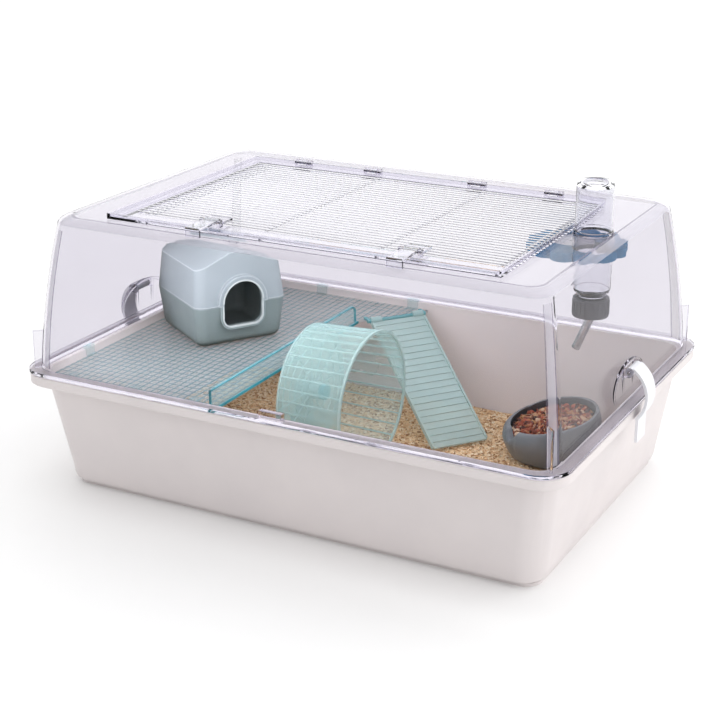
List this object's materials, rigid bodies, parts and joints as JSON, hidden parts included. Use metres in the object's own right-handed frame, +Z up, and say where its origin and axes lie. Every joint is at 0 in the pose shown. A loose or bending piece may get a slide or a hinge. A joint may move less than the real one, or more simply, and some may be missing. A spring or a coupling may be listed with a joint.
{
  "type": "hamster cage",
  "caption": "Two-storey hamster cage: tray, clear clip-on cover, hinged wire roof door, raised floor with ramp, running wheel, house, bowl and drinking bottle.",
  "frame": {"origin": "middle of the cage on the surface it stands on", "axes": "+X is the right-hand end, seen from the front; -Y is the front; +Z is up"},
  "size_m": [0.573, 0.39, 0.317],
  "materials": {
    "tray_white": "satin",
    "pellets": "matte",
    "clear_plastic": "glossy",
    "white_wire": "satin",
    "white_plastic": "satin",
    "steel": "polished",
    "teal_plastic": "translucent",
    "sage_base": "matte",
    "sage_roof": "matte",
    "slate_plastic": "satin",
    "food": "matte",
    "cap_grey": "satin",
    "seal_rubber": "matte",
    "water": "clear",
    "petrol_blue": "satin",
    "smoke_disc": "satin"
  },
  "bodies": {
    "tray": {"tub": "tray_white", "bedding": "pellets", "wheel_stand": "teal_plastic", "wheel_axle": "teal_plastic", "wheel_cap": "teal_plastic"},
    "cover": {"lid_shell": "clear_plastic", "clip_pins": "steel", "door_hinge_pins": "steel", "bottle_holder": "petrol_blue", "holder_disc": "smoke_disc"},
    "roof_door": {"door_frame": "clear_plastic", "long_wires": "white_wire", "cross_wires": "white_wire", "catch_pins": "steel"},
    "left_catch": {"left_catch": "clear_plastic"},
    "right_catch": {"right_catch": "clear_plastic"},
    "left_clip": {"left_clip": "white_plastic"},
    "right_clip": {"right_clip": "white_plastic"},
    "drinking_bottle": {"bottle_body": "clear_plastic", "bottle_cap": "cap_grey", "bottle_seal": "seal_rubber", "spout_tube": "steel", "spout_ball": "steel", "bottle_water": "water"},
    "upper_floor": {"platform_deck": "teal_plastic", "platform_guard": "teal_plastic", "platform_hooks": "teal_plastic", "ramp_bar": "teal_plastic"},
    "ramp": {"ramp_board": "teal_plastic"},
    "running_wheel": {"wheel_drum": "teal_plastic"},
    "house_lower": {"house_base": "sage_base"},
    "house_upper": {"house_roof": "sage_roof"},
    "bowl": {"food_bowl": "slate_plastic", "food_mix": "food"}
  },
  "joints": [
    {"name": "cover_lift", "type": "slide", "parent": "tray", "child": "cover", "axis": [0, 0, 1], "range_m": [0, 0.26]},
    {"name": "roof_door_hinge", "type": "hinge", "parent": "cover", "child": "roof_door", "pos_m": [0, 0.1175, 0.2735], "axis": [-1, 0, 0], "range_deg": [0, 105]},
    {"name": "left_catch_hinge", "type": "hinge", "parent": "roof_door", "child": "left_catch", "pos_m": [-0.091, -0.132, 0.2764], "axis": [-1, 0, 0], "range_deg": [0, 60]},
    {"name": "right_catch_hinge", "type": "hinge", "parent": "roof_door", "child": "right_catch", "pos_m": [0.109, -0.132, 0.2764], "axis": [-1, 0, 0], "range_deg": [0, 60]},
    {"name": "left_clip_hinge", "type": "hinge", "parent": "cover", "child": "left_clip", "pos_m": [-0.2685, 0, 0.154], "axis": [0, 1, 0], "range_deg": [0, 100]},
    {"name": "right_clip_hinge", "type": "hinge", "parent": "cover", "child": "right_clip", "pos_m": [0.2685, 0, 0.154], "axis": [0, -1, 0], "range_deg": [0, 100]},
    {"name": "bottle_lift", "type": "slide", "parent": "cover", "child": "drinking_bottle", "axis": [0, 0, 1], "range_m": [0, 0.17]},
    {"name": "upper_floor_lift", "type": "slide", "parent": "tray", "child": "upper_floor", "axis": [0, 0, 1], "range_m": [0, 0.02]},
    {"name": "ramp_hinge", "type": "hinge", "parent": "upper_floor", "child": "ramp", "pos_m": [-0.03945, 0.14034, 0.112], "axis": [-0.6085, -0.7935, 0], "range_deg": [0, 30]},
    {"name": "wheel_spin", "type": "hinge", "parent": "tray", "child": "running_wheel", "pos_m": [-0.009, -0.038, 0.091], "axis": [1, 0, 0], "continuous": true},
    {"name": "house_lift", "type": "slide", "parent": "upper_floor", "child": "house_lower", "axis": [0, 0, 1], "range_m": [0, 0.04]},
    {"name": "house_roof_lift", "type": "slide", "parent": "house_lower", "child": "house_upper", "axis": [0, 0, 1], "range_m": [0, 0.038]},
    {"name": "bowl_lift", "type": "slide", "parent": "tray", "child": "bowl", "axis": [0, 0, 1], "range_m": [0, 0.15]}
  ]
}
